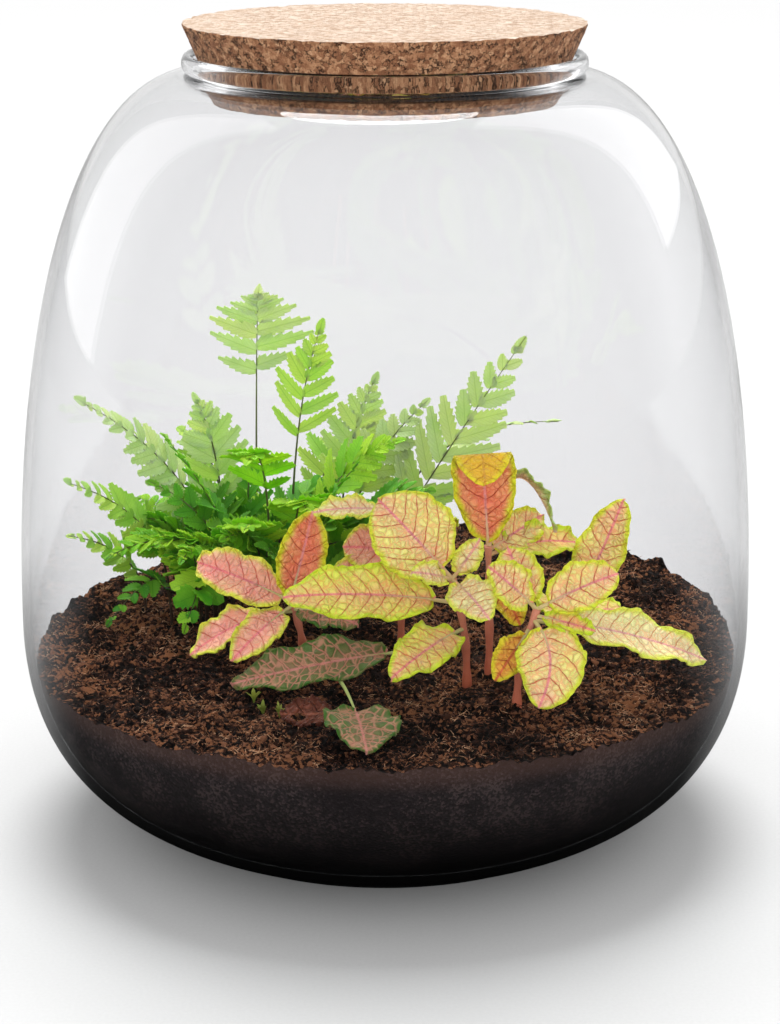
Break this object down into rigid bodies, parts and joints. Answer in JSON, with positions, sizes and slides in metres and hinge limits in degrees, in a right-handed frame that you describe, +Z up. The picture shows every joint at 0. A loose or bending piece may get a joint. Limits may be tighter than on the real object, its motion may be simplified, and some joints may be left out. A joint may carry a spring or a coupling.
{
  "type": "glass plant terrarium",
  "caption": "Closed round glass jar with a tapered cork stopper, holding dark potting soil, a green fern clump and a group of pink and yellow-green nerve plants.",
  "frame": {"origin": "centre of the flat foot of the jar, on the surface that it stands on", "axes": "+Z up along the jar axis, -Y towards the viewer with the nerve plants in front, +X to the viewer's right"},
  "size_m": [0.2304, 0.2304, 0.251],
  "materials": {
    "clear_glass": "clear blown glass, fire polished",
    "pressed_cork": "pressed cork granules, sawn and sanded",
    "potting_soil": "loose fibrous peat, damp and matt",
    "fern_leaf": "thin green leaflets, slightly shiny",
    "nerve_plant_leaf": "soft quilted leaf, yellow-green edge and pink veined centre",
    "dead_leaf": "dry reddish brown leaf with a worn hole, matt"
  },
  "bodies": {
    "root": {"glass_jar": "clear_glass", "cork_stopper": "pressed_cork", "potting_soil": "potting_soil", "fallen_leaf": "dead_leaf", "fern_frond_tall": "fern_leaf", "fern_frond_centre": "fern_leaf", "fern_frond_right": "fern_leaf", "fern_frond_far_right": "fern_leaf", "fern_frond_back": "fern_leaf", "fern_frond_middle": "fern_leaf", "fern_frond_left_middle": "fern_leaf", "fern_frond_left": "fern_leaf", "fern_frond_far_left": "fern_leaf", "fern_frond_low_left": "fern_leaf", "fern_frond_lowest_left": "fern_leaf", "fern_frond_front_left": "fern_leaf", "fern_frond_front": "fern_leaf", "fern_frond_inner_left": "fern_leaf", "fern_frond_inner": "fern_leaf", "fern_frond_inner_right": "fern_leaf", "fern_frond_inner_front": "fern_leaf", "fern_frond_middle_front": "fern_leaf", "fern_frond_right_front": "fern_leaf", "fern_frond_low_front_left": "fern_leaf", "fern_frond_back_left": "fern_leaf", "fern_frond_back_right": "fern_leaf", "nerve_plant_front_right": "nerve_plant_leaf", "nerve_plant_front_middle": "nerve_plant_leaf", "nerve_plant_back_middle": "nerve_plant_leaf", "nerve_plant_right": "nerve_plant_leaf", "nerve_plant_middle": "nerve_plant_leaf", "nerve_plant_left": "nerve_plant_leaf", "nerve_plant_low_shoot": "nerve_plant_leaf"}
  },
  "joints": []
}
